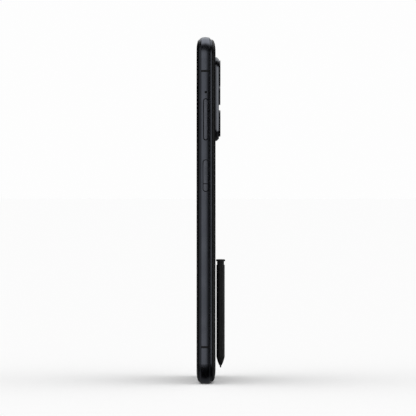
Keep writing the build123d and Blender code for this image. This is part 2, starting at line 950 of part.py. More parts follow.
def make_board_parts():
    can_bottom = board_strip_top + battery_flex_length
    near_can_right = board_step_x - shield_gap
    near_can_left = socket_end + socket_wall + shield_gap
    far_can_top = tray_plate_z - tray_width / 2 - socket_wall - shield_gap
    far_can_left = upper_screws[1][0] + boss_radius + shield_gap
    with BuildPart() as board_shields:
        shield_can(near_can_left, near_can_right, can_bottom, board_top - shield_gap)
        shield_can(far_can_left, near_can_left - shield_gap, can_bottom, far_can_top)
    save(board_shields, "board_shields")
    chip_x = (near_can_left + near_can_right) / 2
    chip_half = min(processor_size, near_can_right - near_can_left - 2 * shield_gap) / 2
    chip_z = tray_z - chip_half
    block(
        "processor",
        (chip_x - chip_half, chip_x + chip_half),
        (board_back, board_back + processor_height),
        (chip_z - chip_half, chip_z + chip_half),
    )
    block(
        "heat_spreader",
        (board_left + 2 * spreader_inset, board_step_x - boss_radius - 2 * spreader_inset),
        (plate_back, plate_back + spreader_thickness),
        (can_bottom, board_top - spreader_inset),
    )


def make_upper_antenna_cover():
    cover_left = -inner_wall
    cover_right = key_flex_face - board_gap / 2
    top = inner_top
    above_cameras = board_top + main_board_camera_gap
    with BuildPart() as upper_antenna_cover:
        with BuildSketch(at_depth(upper_boss_top + inner_cover_thickness)):
            rectangle_between(cover_left, board_step_x, board_bottom, top)
            rectangle_between(cover_left, cover_right, above_cameras, top)
            with Locations(*upper_screws):
                Circle(screw_radius, mode=Mode.SUBTRACT)
        extrude(amount=inner_cover_thickness)
        with BuildSketch(at_depth(upper_boss_top + inner_cover_thickness)):
            body_outline(band_wall + cover_side_gap)
        extrude(amount=inner_cover_thickness, mode=Mode.INTERSECT)
    save(upper_antenna_cover, "upper_antenna_cover")


def make_earpiece():
    right = -front_camera_size / 2 - earpiece_gap
    top = inner_top - cover_side_gap
    block(
        "earpiece",
        (right - earpiece_length, right),
        (camera_floor, camera_floor + earpiece_depth),
        (top - earpiece_height, top),
        1.0,
    )


# ================================================================ battery and what crosses it
def make_battery_group():
    block(
        "battery",
        (battery_left, battery_right),
        (battery_front, battery_back),
        (battery_bottom, battery_top),
        battery_corner,
    )
    flex_left = battery_x - battery_flex_width / 2
    block(
        "battery_flex",
        (flex_left, flex_left + battery_flex_width),
        (board_back, board_back + flex_thickness),
        (battery_top, battery_top + battery_flex_length),
    )
    flex_start = battery_left + main_flex_from_side
    block(
        "main_flex",
        (flex_start, flex_start + main_flex_width),
        (battery_back, battery_back + flex_thickness),
        (sub_board_top - battery_board_gap, board_bottom + battery_board_gap),
    )
    coil_back = cover_inside - coil_under_cover
    coil_z = (battery_bottom + battery_top) / 2
    with BuildPart() as charging_coil:
        disc(battery_x, coil_z, coil_radius, coil_back - coil_thickness, coil_back)
        disc(battery_x, coil_z, coil_hole_radius, coil_back - coil_thickness, coil_back, Mode.SUBTRACT)
    save(charging_coil, "charging_coil")


def make_antenna_coax():
    coax_y = board_back + coax_radius
    top = board_bottom + main_board_strip / 2
    bottom = sub_board_top - main_board_strip / 2
    end_x = coax_x - 2 * coax_bend
    with BuildPart() as antenna_coax:
        with BuildLine():
            FilletPolyline(
                (coax_x, coax_y, top), (coax_x, coax_y, bottom), (end_x, coax_y, bottom), radius=coax_bend
            )
        with BuildSketch(Plane.XY.offset(top)):
            with Locations((coax_x, coax_y)):
                Circle(coax_radius)
        sweep()
        disc(coax_x, top, coax_plug_radius, board_back, board_back + 2 * coax_radius)
        disc(end_x, bottom, coax_plug_radius, board_back, sub_board_front)
    save(antenna_coax, "antenna_coax")


# ================================================================ inside, bottom end
def make_usb_port():
    with BuildPart() as usb_port:
        with BuildSketch(Plane.XY.offset(usb_bottom)):
            SlotOverall(usb_width, usb_depth)
        extrude(amount=usb_length)
        with BuildSketch(Plane.XY.offset(usb_bottom)):
            SlotOverall(usb_width - 2 * usb_shell, usb_depth - 2 * usb_shell)
        extrude(amount=usb_length - usb_back_wall, mode=Mode.SUBTRACT)
    save(usb_port, "usb_port")
    with BuildPart() as usb_tongue:
        with BuildSketch(Plane.XY.offset(usb_top - usb_back_wall)):
            RectangleRounded(usb_tongue_width, usb_tongue_thickness, usb_tongue_thickness / 3)
        extrude(amount=-(usb_length - 3 * usb_back_wall))
    save(usb_tongue, "usb_tongue")


def make_sub_board():
    tab_left = microphone_x - microphone_size
    tab_right = speaker_left - sub_board_side_gap
    with BuildPart() as sub_board:
        with BuildSketch(at_depth(sub_board_back)):
            rectangle_between(-inner_wall + board_gap / 2, battery_right, sub_board_bottom, sub_board_top)
            rectangle_between(tab_left, tab_right, sub_board_tab_bottom, sub_board_bottom)
            with Locations(*lower_screws):
                Circle(boss_radius + boss_clearance, mode=Mode.SUBTRACT)
        extrude(amount=sub_board_back - sub_board_front)
    save(sub_board, "sub_board")


def make_lower_antenna_cover():
    with BuildPart() as lower_antenna_cover:
        with BuildSketch(at_depth(lower_boss_top + inner_cover_thickness)):
            rectangle_between(-inner_wall, battery_right, inner_bottom, sub_board_top)
            with Locations(*lower_screws):
                Circle(screw_radius, mode=Mode.SUBTRACT)
        extrude(amount=inner_cover_thickness)
        with BuildSketch(at_depth(lower_boss_top + inner_cover_thickness)):
            body_outline(panel_inset)
        extrude(amount=inner_cover_thickness, mode=Mode.INTERSECT)
    save(lower_antenna_cover, "lower_antenna_cover")


def make_speaker():
    mesh_top = inner_bottom + speaker_mesh_thickness
    block(
        "loudspeaker",
        (speaker_left, speaker_right),
        (battery_front, battery_back),
        (mesh_top, speaker_top),
        1.0,
    )
    mesh_half = (speaker_hole_count * speaker_hole_pitch) / 2
    block(
        "loudspeaker_mesh",
        (speaker_x - mesh_half, speaker_x + mesh_half),
        (-2 * speaker_hole_radius, 2 * speaker_hole_radius),
        (inner_bottom, mesh_top),
    )


def make_microphones():
    half = microphone_size / 2
    with BuildPart() as microphones:
        with BuildSketch(Plane.XY.offset(inner_bottom)):
            with Locations((microphone_x, 0)):
                Rectangle(microphone_size, microphone_size)
        extrude(amount=microphone_depth)
        with BuildSketch(Plane.YZ.offset(inner_wall)):
            with Locations((0, side_microphone_height)):
                Rectangle(microphone_size, half)
        extrude(amount=-microphone_depth)
    save(microphones, "microphones")


def make_vibration_motor():
    front = camera_floor
    back = front + motor_depth
    right = motor_left + motor_length
    top = motor_bottom + motor_height
    with BuildPart() as vibration_case:
        with BuildSketch(at_depth(back)):
            rectangle_between(motor_left, right, motor_bottom, top)
        extrude(amount=motor_depth)
        with BuildSketch(at_depth(back - motor_wall)):
            rectangle_between(
                motor_left + motor_wall, right - motor_wall, motor_bottom + motor_wall, top - motor_wall
            )
        extrude(amount=motor_depth - 2 * motor_wall, mode=Mode.SUBTRACT)
    save(vibration_case, "vibration_case")
    side = motor_wall + motor_gap
    end = motor_wall + motor_swing + motor_swing_gap
    block(
        "vibration_mass",
        (motor_left + end, right - end),
        (front + side, back - side),
        (motor_bottom + side, top - side),
        1.0,
    )


# ================================================================ stylus and silo
def make_stylus_silo():
    with BuildPart() as stylus_silo:
        with BuildSketch(Plane.XY.offset(silo_bottom)):
            with Locations((silo_x, 0)):
                Circle(silo_outer)
        extrude(amount=silo_end + silo_end_wall - silo_bottom)
        with BuildSketch(Plane.XY.offset(silo_bottom)):
            with Locations((silo_x, 0)):
                Circle(silo_radius)
        extrude(amount=silo_end - silo_bottom, mode=Mode.SUBTRACT)
    save(stylus_silo, "stylus_silo")


def make_hold_magnets():
    magnet_back = cover_inside - magnet_gap
    with BuildPart() as hold_magnets:
        with BuildSketch(at_depth(magnet_back)):
            with Locations((stylus_x, low_magnet_height), (stylus_x, high_magnet_height)):
                Rectangle(magnet_size, magnet_length)
        extrude(amount=magnet_thickness)
    save(hold_magnets, "hold_magnets")


def stylus_rod(radius, bottom, top, mode=Mode.ADD):
    """A round length on the stylus's axis, in the part being built."""
    with BuildSketch(Plane.XY.offset(bottom)) as circle:
        with Locations((stylus_x, stylus_y)):
            Circle(radius)
    extrude(circle.sketch, amount=top - bottom, mode=mode)


def make_stylus_barrel():
    with BuildPart() as stylus_barrel:
        stylus_rod(stylus_radius, cone_top, tube_top)
        fillet(stylus_barrel.faces().sort_by(Axis.Z)[-1].edges(), stylus_wall / 2)
        stylus_rod(stylus_bore, cone_top, tube_top, Mode.SUBTRACT)
    save(stylus_barrel, "stylus_barrel")


def make_stylus_cone():
    axis_plane = Plane(origin=(stylus_x, stylus_y, 0), x_dir=(1, 0, 0), z_dir=(0, -1, 0))
    bore = nib_shaft_radius + nib_clearance
    spigot_top = cone_top + cone_spigot
    with BuildPart() as stylus_cone:
        with BuildSketch(axis_plane):
            with BuildLine():
                ThreePointArc(
                    (cone_mouth_radius, cone_bottom),
                    (cone_shoulder_radius, cone_bottom + cone_shoulder_height),
                    (stylus_radius, cone_top),
                )
                Polyline(
                    (stylus_radius, cone_top),
                    (stylus_bore, cone_top),
                    (stylus_bore, spigot_top),
                    (bore, spigot_top),
                    (bore, cone_bottom + nib_exposed),
                    (nib_radius + nib_clearance, cone_bottom + nib_exposed),
                    (nib_radius + nib_clearance, cone_bottom),
                    (cone_mouth_radius, cone_bottom),
                )
            make_face()
        revolve(axis=Axis((stylus_x, stylus_y, 0), (0, 0, 1)))
    save(stylus_cone, "stylus_cone")


def make_stylus_nib():
    shaft_bottom = cone_bottom + nib_exposed + nib_clearance
    with BuildPart() as stylus_nib:
        stylus_rod(nib_radius, stylus_bottom, shaft_bottom)
        fillet(stylus_nib.faces().sort_by(Axis.Z)[0].edges(), 0.8 * nib_radius)
        stylus_rod(nib_shaft_radius, shaft_bottom, shaft_bottom + nib_shaft_length)
    save(stylus_nib, "stylus_nib")


def make_stylus_core():
    core_bottom = cone_bottom + nib_exposed + nib_shaft_length + nib_travel + core_gap
    core_top = core_bottom + core_length
    with BuildPart() as stylus_core:
        stylus_rod(core_radius, core_bottom, core_top)
        stylus_rod(stylus_bore, core_bottom + core_gap, core_bottom + 2 * core_gap)
        stylus_rod(stylus_bore, core_top - core_gap, core_top)
        stylus_rod(core_stem_radius, core_top, spring_bottom - spring_seat)
        stylus_rod(stylus_bore, spring_bottom - spring_seat, spring_bottom)
    save(stylus_core, "stylus_core")


def make_stylus_cap():
    flange_top = flange_bottom + cap_flange
    with BuildPart() as stylus_cap:
        stylus_rod(stylus_bore - neck_clearance, neck_bottom, flange_bottom)
        stylus_rod(stylus_cap_radius, flange_bottom, flange_top)
        fillet(stylus_cap.faces().sort_by(Axis.Z)[-1].edges(), cap_flange / 2)
    save(stylus_cap, "stylus_cap")


def make_stylus_spring():
    start = spring_bottom + spring_wire
    with BuildPart() as stylus_spring:
        with BuildLine():
            Helix(
                spring_pitch,
                spring_pitch * spring_turns,
                spring_radius,
                center=(stylus_x, stylus_y, start),
            )
        with BuildSketch(Plane(origin=(stylus_x + spring_radius, stylus_y, start), z_dir=(0, 1, 0))):
            Circle(spring_wire)
        sweep(is_frenet=True)
    save(stylus_spring, "stylus_spring")


os.makedirs("parts", exist_ok=True)

make_front_glass()
make_display_layer("display_panel", panel_front, panel_back)
make_display_layer("display_backing", panel_back, panel_back + backing_thickness)
make_display_flex()
flat_ring("display_adhesive", cover_outline_inset + edge_reveal, glue_width, glass_back, band_front)
make_earpiece_mesh()

make_mid_frame()
make_antenna_breaks()
make_chassis_screws()

make_key("volume_key", volume_key_middle, volume_key_length, volume_key_width, volume_key_proud)
make_key(
    "power_key",
    power_key_middle,
    power_key_length,
    power_key_width,
    power_key_proud,
    body_height - power_groove_below_top,
)
make_key_flex()

make_sim_tray()
make_sim_tray_seal()
make_sim_socket()

make_rear_cover()
flat_ring("cover_adhesive", cover_outline_inset + edge_reveal, glue_width, band_back, cover_front)
make_camera_island()
for camera, camera_z in (("main", main_lens_z), ("wide", wide_lens_z)):
    make_camera_ring(
        f"{camera}_camera",
        lens_x,
        camera_z,
        big_ring_radius,
        big_neck_radius,
        big_glass_radius,
        big_window_radius,
    )
make_camera_ring(
    "macro_camera",
    small_x,
    macro_lens_z,
    small_ring_radius,
    small_neck_radius,
    small_glass_radius,
    small_window_radius,
)
make_focus_camera("main", lens_x, main_lens_z, main_housing, main_barrel_radius)
make_focus_camera("wide", lens_x, wide_lens_z, wide_housing, wide_barrel_radius)
make_macro_camera()
make_flash()

make_front_camera()
make_main_board()
make_board_parts()
make_upper_antenna_cover()
make_earpiece()

make_battery_group()
make_antenna_coax()

make_usb_port()
make_sub_board()
make_lower_antenna_cover()
make_speaker()
make_microphones()
make_vibration_motor()

make_stylus_silo()
make_hold_magnets()
make_stylus_barrel()
make_stylus_cone()
make_stylus_nib()
make_stylus_core()
make_stylus_cap()
make_stylus_spring()
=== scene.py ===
"""Looks for the smartphone with a click stylus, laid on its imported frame."""

import math

import bmesh
import bpy
from mathutils import Matrix, Vector


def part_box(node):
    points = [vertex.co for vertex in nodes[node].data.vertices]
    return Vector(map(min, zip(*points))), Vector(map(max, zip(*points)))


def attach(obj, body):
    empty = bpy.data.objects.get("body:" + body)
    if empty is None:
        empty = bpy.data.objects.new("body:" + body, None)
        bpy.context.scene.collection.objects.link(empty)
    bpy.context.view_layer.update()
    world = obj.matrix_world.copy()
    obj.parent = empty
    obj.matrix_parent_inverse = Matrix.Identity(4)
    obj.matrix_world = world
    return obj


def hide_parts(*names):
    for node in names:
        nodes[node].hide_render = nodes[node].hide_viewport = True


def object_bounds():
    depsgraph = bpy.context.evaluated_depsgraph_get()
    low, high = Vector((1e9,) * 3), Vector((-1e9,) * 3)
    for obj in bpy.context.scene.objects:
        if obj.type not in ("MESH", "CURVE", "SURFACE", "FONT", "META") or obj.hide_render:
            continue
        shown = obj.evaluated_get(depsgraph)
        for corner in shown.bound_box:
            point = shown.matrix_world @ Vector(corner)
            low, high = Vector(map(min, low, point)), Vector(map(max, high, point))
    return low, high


mm = 0.001
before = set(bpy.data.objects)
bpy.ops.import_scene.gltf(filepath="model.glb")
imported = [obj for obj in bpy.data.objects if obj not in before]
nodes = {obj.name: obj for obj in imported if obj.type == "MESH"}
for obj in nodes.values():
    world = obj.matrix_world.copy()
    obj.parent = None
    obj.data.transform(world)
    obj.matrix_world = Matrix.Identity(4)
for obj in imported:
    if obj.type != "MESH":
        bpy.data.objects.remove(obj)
cad_low, cad_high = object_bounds()


# ---------------------------------------------------------------- shader wiring
def wire(tree, kind, options=None, **sockets):
    """Adds a shader node; a socket takes a number, a colour or another node's output."""
    made = tree.nodes.new(kind)
    for option, value in (options or {}).items():
        setattr(made, option, value)
    for name, value in sockets.items():
        key = int(name[1:]) if name[1:].isdigit() else name.replace("_", " ")
        if isinstance(value, bpy.types.NodeSocket):
            tree.links.new(value, made.inputs[key])
        else:
            made.inputs[key].default_value = value
    return made


def reckon(tree, first, second, operation="ADD"):
    """One maths node on two numbers."""
    return wire(tree, "ShaderNodeMath", {"operation": operation}, i0=first, i1=second).outputs[0]


def reckon_one(tree, value, operation):
    """One maths node on a single number."""
    return wire(tree, "ShaderNodeMath", {"operation": operation}, i0=value).outputs[0]


def length_of(tree, **parts):
    """Length of the arrow whose X, Y or Z parts are given."""
    arrow = wire(tree, "ShaderNodeCombineXYZ", **parts)
    return wire(tree, "ShaderNodeVectorMath", {"operation": "LENGTH"}, i0=arrow.outputs[0]).outputs[1]


def ramped(tree, value, low, high, start=0.0, end=1.0):
    """Carries a value from low..high to start..end along a smooth step."""
    step = wire(
        tree, "ShaderNodeMapRange", {"interpolation_type": "SMOOTHSTEP"},
        Value=value, From_Min=low, From_Max=high, To_Min=start, To_Max=end,
    )
    return step.outputs[0]


def blended(tree, share, first, second):
    mixed = wire(tree, "ShaderNodeMix", {"data_type": "RGBA"}, i0=share, i6=first, i7=second)
    return mixed.outputs[2]


def shade(colour, scale=1.0):
    return (colour[0] * scale, colour[1] * scale, colour[2] * scale, 1.0)


class Finish:
    """One material: a shader, object coordinates, and the layers added to them."""

    def __init__(self, name, colour, metallic=0.0, roughness=0.4, specular=0.5):
        self.material = bpy.data.materials.new(name)
        self.material.use_nodes = True
        self.material.diffuse_color = shade(colour)
        self.tree = self.material.node_tree
        self.shader = self.tree.nodes["Principled BSDF"]
        self.place = wire(self.tree, "ShaderNodeTexCoord").outputs["Object"]
        self.colour = shade(colour)
        self.roughness = roughness
        self.bump = None
        self.shader.inputs["Base Color"].default_value = self.colour
        self.shader.inputs["Metallic"].default_value = metallic
        self.shader.inputs["Roughness"].default_value = roughness
        self.shader.inputs["Specular IOR Level"].default_value = specular

    def centred(self, point):
        """Object coordinates measured from a point of the part."""
        mapping = wire(self.tree, "ShaderNodeMapping", {"vector_type": "POINT"}, Vector=self.place)
        mapping.inputs["Location"].default_value = [-value for value in point]
        return mapping.outputs[0]

    def noise(self, size, detail=3.0, stretch=(1.0, 1.0, 1.0), rough=0.5):
        """Noise whose features are about size across, in metres."""
        mapping = wire(self.tree, "ShaderNodeMapping", Vector=self.place, Scale=stretch)
        made = wire(
            self.tree, "ShaderNodeTexNoise",
            Vector=mapping.outputs[0], Scale=1.0 / size, Detail=detail, Roughness=rough,
        )
        return made.outputs[0]

    def tint(self, share, colour):
        """Lays a second colour over the first where share is 1."""
        self.colour = blended(self.tree, share, self.colour, shade(colour))
        self.tree.links.new(self.colour, self.shader.inputs["Base Color"])

    def rough(self, share, value):
        """Moves the roughness towards value where share is 1."""
        mixed = wire(self.tree, "ShaderNodeMix", i0=share, i2=self.roughness, i3=value)
        self.roughness = mixed.outputs[0]
        self.tree.links.new(self.roughness, self.shader.inputs["Roughness"])

    def relief(self, height, depth, strength=1.0):
        """Presses a height of 0 to 1 into the surface, depth metres deep."""
        made = wire(self.tree, "ShaderNodeBump", Height=height, Distance=depth, Strength=strength)
        if self.bump is not None:
            self.tree.links.new(self.bump, made.inputs["Normal"])
        self.bump = made.outputs[0]
        self.tree.links.new(self.bump, self.shader.inputs["Normal"])

    def drift(self, size, spread, tone=0.0):
        """A slow change of roughness, and of tone, as handling leaves on any surface."""
        cloud = ramped(self.tree, self.noise(size, 4.0), 0.35, 0.65)
        self.rough(cloud, self.shader.inputs["Roughness"].default_value + spread)
        if tone:
            base = self.shader.inputs["Base Color"].default_value
            share = reckon(self.tree, cloud, 0.6, "MULTIPLY")
            self.tint(share, [value * (1 + tone) for value in base[:3]])

    def grain(self, size, depth, strength=0.5):
        """The fine tooth of a blasted, moulded or etched surface."""
        self.relief(self.noise(size, 2.0, rough=0.6), depth, strength)

    def coat(self, weight, roughness):
        self.shader.inputs["Coat Weight"].default_value = weight
        self.shader.inputs["Coat Roughness"].default_value = roughness


def radius_about_y(finish, x, z):
    """Distance from an axis that runs front to back through the phone."""
    parts = wire(finish.tree, "ShaderNodeSeparateXYZ", Vector=finish.centred((x, 0.0, z)))
    return length_of(finish.tree, X=parts.outputs[0], Y=parts.outputs[2])


def middle_of(node):
    low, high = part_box(node)
    return (low + high) / 2


def radius_about_lenses(finish):
    """Distance from the nearest of the three lens axes."""
    nearest = None
    for camera in ("main", "wide", "macro"):
        centre = middle_of(f"{camera}_camera_glass")
        radius = radius_about_y(finish, centre.x, centre.z)
        nearest = radius if nearest is None else reckon(finish.tree, nearest, radius, "MINIMUM")
    return nearest


def window(finish, value, low, high, edge):
    """1 between low and high, falling to 0 over edge on either side."""
    rise = ramped(finish.tree, value, low - edge, low)
    fall = ramped(finish.tree, value, high, high + edge, 1.0, 0.0)
    return reckon(finish.tree, rise, fall, "MULTIPLY")


hidden_lip = 0.4 * mm      # each key's inner lip is this much wider than what shows
groove_drop = 3.8 * mm     # from the power key's middle down to its cross groove


def beyond_key(finish, node):
    """Distance out from a round-ended key's outline, seen from the key side."""
    low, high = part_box(node)
    half_width = (high.y - low.y) / 2 - hidden_lip
    half_straight = (high.z - low.z) / 2 - hidden_lip - half_width
    middle = middle_of(node)
    parts = wire(finish.tree, "ShaderNodeSeparateXYZ", Vector=finish.centred((0.0, middle.y, middle.z)))
    up = reckon_one(finish.tree, parts.outputs[2], "ABSOLUTE")
    past_end = reckon(finish.tree, reckon(finish.tree, up, half_straight, "SUBTRACT"), 0.0, "MAXIMUM")
    reach = length_of(finish.tree, Y=parts.outputs[1], Z=past_end)
    return reckon(finish.tree, reach, half_width, "SUBTRACT")


def stripes(finish, value, pitch):
    """A wave of 0 to 1 along value, one crest every pitch."""
    turn = reckon(finish.tree, value, math.tau / pitch, "MULTIPLY")
    wave = wire(finish.tree, "ShaderNodeMath", {"operation": "SINE"}, i0=turn).outputs[0]
    return reckon(finish.tree, reckon(finish.tree, wave, 0.5, "MULTIPLY"), 0.5)


def axis_of(finish, index):
    return wire(finish.tree, "ShaderNodeSeparateXYZ", Vector=finish.place).outputs[index]


# ---------------------------------------------------------------- outer finishes
def screen_glass():
    """Black cover glass, its lit area a shade bluer than the printed border."""
    finish = Finish("screen_glass", (0.0014, 0.0014, 0.0016), roughness=0.05, specular=0.26)
    low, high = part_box("display_panel")
    border = 0.6 * mm
    across = reckon_one(finish.tree, axis_of(finish, 0), "ABSOLUTE")
    sides = ramped(finish.tree, across, high.x - border, high.x - 1.4 * border, 0.0, 1.0)
    up = axis_of(finish, 2)
    foot = ramped(finish.tree, up, low.z + border, low.z + 1.4 * border)
    head = ramped(finish.tree, up, high.z - border, high.z - 1.4 * border)
    lit = reckon(finish.tree, reckon(finish.tree, sides, foot, "MULTIPLY"), head, "MULTIPLY")
    finish.tint(lit, (0.0075, 0.0082, 0.0105))
    camera = middle_of("front_camera")
    ring = radius_about_y(finish, camera.x, camera.z)
    finish.tint(ramped(finish.tree, ring, 2.05 * mm, 1.98 * mm), (0.0012, 0.0012, 0.0013))
    finish.tint(window(finish, ring, 1.0 * mm, 1.1 * mm, 0.05 * mm), (0.03, 0.03, 0.034))
    finish.tint(ramped(finish.tree, ring, 0.95 * mm, 0.85 * mm), (0.006, 0.0045, 0.011))
    finish.drift(18 * mm, 0.035)
    finish.grain(6.0 * mm, 0.002 * mm, 0.1)
    return finish.material


def satin_cover():
    """Etched black back glass: a soft sheen with a very fine sparkle."""
    finish = Finish("satin_cover", (0.0042, 0.0043, 0.0046), roughness=0.3, specular=0.3)
    finish.drift(24 * mm, 0.07, 0.2)
    finish.grain(0.16 * mm, 0.004 * mm, 0.35)
    finish.coat(0.12, 0.16)
    return finish.material


def slate_band():
    """Blasted and anodised slate metal, with faint brushing round the crown."""
    finish = Finish("slate_band", (0.163, 0.172, 0.2), metallic=1.0, roughness=0.25)
    finish.drift(14 * mm, 0.05, -0.08)
    brushed = finish.noise(0.5 * mm, 3.0, stretch=(6.0, 6.0, 0.35))
    finish.relief(brushed, 0.0015 * mm, 0.25)
    finish.grain(0.12 * mm, 0.003 * mm, 0.3)
    paint_seam_shade(finish)
    paint_hole_shade(finish)
    on_key_side = ramped(finish.tree, axis_of(finish, 0), cad_high.x - 3.5 * mm, cad_high.x - 3 * mm)
    for node in ("volume_key", "power_key"):
        gap = window(finish, beyond_key(finish, node), -0.2 * mm, 0.17 * mm, 0.08 * mm)
        finish.tint(reckon(finish.tree, gap, on_key_side, "MULTIPLY"), (0.006, 0.0063, 0.007))
    return finish.material


def paint_seam_shade(finish):
    """Paints shade on the two turned shoulders and on the band's back edge beside the rear cover,
    leaving one bright lip line, and paints a darker strip of shade where the band turns in at the front
    glass.
    """
    depth = axis_of(finish, 1)
    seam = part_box("rear_cover")[0].y
    # Painted shade on the turned shoulders, and black painted shade on the back edge beside the rear
    # cover.
    shoulder = window(finish, depth, seam - 1.05 * mm, seam - 0.74 * mm, 0.06 * mm)
    edge = ramped(finish.tree, depth, seam - 0.36 * mm, seam - 0.3 * mm)
    finish.tint(reckon(finish.tree, shoulder, edge, "MAXIMUM"), (0.012, 0.013, 0.014))
    glass_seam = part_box("front_glass")[1].y
    # Painted shade on the strip where the band turns in beside the front glass.
    turn_in = window(finish, depth, glass_seam + 0.85 * mm, glass_seam + 1.0 * mm, 0.1 * mm)
    finish.tint(turn_in, (0.08, 0.084, 0.098))


def paint_hole_shade(finish):
    """Paints black shade on the walls inside the side microphone's hole and in the openings of the
    foot.
    """
    low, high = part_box("microphones")
    hole_height = high.z - 0.25 * (high.y - low.y)
    offset = wire(finish.tree, "ShaderNodeSeparateXYZ", Vector=finish.centred((0.0, 0.0, hole_height)))
    x, y, z = offset.outputs
    spread = length_of(finish.tree, Y=y, Z=z)
    # Painted shade: the walls inside the microphone hole are made black.
    near = ramped(finish.tree, spread, 0.6 * mm, 0.52 * mm)
    deep = ramped(finish.tree, x, cad_high.x - 0.05 * mm, cad_high.x - 0.15 * mm)
    finish.tint(reckon(finish.tree, near, deep, "MULTIPLY"), (0.001, 0.001, 0.001))
    # Painted shade on the inner walls at the openings of the foot.
    up = axis_of(finish, 2)
    inside = ramped(finish.tree, up, 0.05 * mm, 0.2 * mm)
    in_wall = ramped(finish.tree, up, 3.0 * mm, 2.7 * mm)
    wall = reckon(finish.tree, inside, in_wall, "MULTIPLY")
    depth = reckon_one(finish.tree, axis_of(finish, 1), "ABSOLUTE")
    across = reckon_one(finish.tree, axis_of(finish, 0), "ABSOLUTE")
    in_depth = ramped(finish.tree, depth, 2.02 * mm, 1.95 * mm)
    in_width = ramped(finish.tree, across, 29 * mm, 28.5 * mm)
    mouth = reckon(finish.tree, in_depth, in_width, "MULTIPLY")
    finish.tint(reckon(finish.tree, wall, mouth, "MULTIPLY"), (0.003, 0.003, 0.003))


def break_plastic():
    finish = Finish("break_plastic", (0.006, 0.0062, 0.0066), roughness=0.42, specular=0.35)
    finish.drift(2 * mm, 0.1, 0.3)
    finish.grain(0.14 * mm, 0.006 * mm, 0.5)
    return finish.material


def key_metal():
    """The keys share the band's metal, a little finer and darker, with painted shade on their rims and
    in the power key's cross groove.
    """
    finish = Finish("key_metal", (0.185, 0.193, 0.22), metallic=1.0, roughness=0.24)
    past_volume = beyond_key(finish, "volume_key")
    past_power = beyond_key(finish, "power_key")
    edge = reckon(finish.tree, past_volume, past_power, "MINIMUM")
    # Painted shade on the rounded rim of each key.
    finish.tint(ramped(finish.tree, edge, -0.34 * mm, -0.14 * mm), (0.022, 0.023, 0.026))
    # Painted shade along the power key's cross groove.
    groove = middle_of("power_key").z - groove_drop
    line = window(finish, axis_of(finish, 2), groove - 0.15 * mm, groove + 0.15 * mm, 0.12 * mm)
    finish.tint(line, (0.012, 0.0125, 0.014))
    finish.drift(5 * mm, 0.06, -0.1)
    finish.relief(finish.noise(0.4 * mm, 3.0, stretch=(6.0, 6.0, 0.3)), 0.0015 * mm, 0.3)
    return finish.material


def tray_metal():
    finish = Finish("tray_metal", (0.15, 0.156, 0.175), metallic=1.0, roughness=0.26)
    finish.drift(4 * mm, 0.06, -0.1)
    finish.grain(0.12 * mm, 0.003 * mm, 0.35)
    return finish.material


def island_metal():
    """The raised camera deck: the band's metal, a shade darker and tighter, with painted shade on its
    top bevel.
    """
    finish = Finish("island_metal", (0.13, 0.136, 0.15), metallic=1.0, roughness=0.16)
    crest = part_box("camera_island")[1].y
    # Painted shade on the island's top bevel.
    bevel = ramped(finish.tree, axis_of(finish, 1), crest - 0.72 * mm, crest - 0.5 * mm)
    finish.tint(bevel, (0.066, 0.07, 0.077))
    finish.drift(9 * mm, 0.05, -0.08)
    finish.grain(0.12 * mm, 0.002 * mm, 0.25)
    return finish.material


def ring_metal():
    """Turned lens rings with the fine circles that a lathe leaves."""
    finish = Finish("ring_metal", (0.03, 0.031, 0.034), metallic=1.0, roughness=0.28)
    circles = stripes(finish, radius_about_lenses(finish), 0.11 * mm)
    finish.relief(circles, 0.002 * mm, 0.4)
    finish.drift(3 * mm, 0.08, 0.3)
    return finish.material


def lens_cover():
    """Coated cover glass over a camera."""
    finish = Finish("lens_cover", (0.9, 0.92, 0.95), roughness=0.02, specular=0.5)
    finish.shader.inputs["Transmission Weight"].default_value = 1.0
    finish.shader.inputs["IOR"].default_value = 1.45
    finish.grain(2.5 * mm, 0.001 * mm, 0.1)
    finish.rough(ramped(finish.tree, finish.noise(4 * mm), 0.4, 0.7), 0.05)
    return finish.material


def coated_element():
    """The front element of a lens: near black, with a thin-film coating and a dark iris."""
    finish = Finish("coated_element", (0.005, 0.0045, 0.009), roughness=0.03, specular=0.7)
    finish.shader.inputs["Thin Film Thickness"].default_value = 460.0
    finish.shader.inputs["Thin Film IOR"].default_value = 1.38
    radius = radius_about_lenses(finish)
    finish.tint(window(finish, radius, 0.62 * mm, 0.7 * mm, 0.04 * mm), (0.035, 0.03, 0.05))
    finish.tint(ramped(finish.tree, radius, 0.6 * mm, 0.55 * mm), (0.0006, 0.0006, 0.0008))
    finish.rough(ramped(finish.tree, finish.noise(1.2 * mm), 0.45, 0.7), 0.06)
    return finish.material


def baffle_black():
    """Light-eating black of the stepped rings inside a lens mouth."""
    finish = Finish("baffle_black", (0.009, 0.009, 0.0095), roughness=0.6, specular=0.3)
    finish.relief(stripes(finish, radius_about_lenses(finish), 0.06 * mm), 0.004 * mm, 0.6)
    finish.drift(0.8 * mm, 0.1, 0.4)
    return finish.material


def flash_window():
    """Frosted, slightly warm flash lens."""
    finish = Finish("flash_window", (0.86, 0.82, 0.68), roughness=0.28)
    finish.shader.inputs["Transmission Weight"].default_value = 0.55
    finish.shader.inputs["IOR"].default_value = 1.5
    finish.drift(1.2 * mm, 0.12, -0.15)
    finish.grain(0.25 * mm, 0.01 * mm, 0.4)
    return finish.material


def stylus_black():
    """Satin black stylus shell."""
    finish = Finish("stylus_black", (0.0125, 0.0126, 0.0132), roughness=0.42, specular=0.5)
    finish.drift(6 * mm, 0.07, 0.25)
    finish.relief(finish.noise(0.4 * mm, 3.0, stretch=(5.0, 5.0, 0.4)), 0.002 * mm, 0.3)
    finish.grain(0.1 * mm, 0.004 * mm, 0.35)
    return finish.material


def nib_rubber():
    finish = Finish("nib_rubber", (0.011, 0.011, 0.0115), roughness=0.62, specular=0.3)
    finish.drift(0.8 * mm, 0.12, 0.5)
    finish.grain(0.08 * mm, 0.01 * mm, 0.6)
    return finish.material


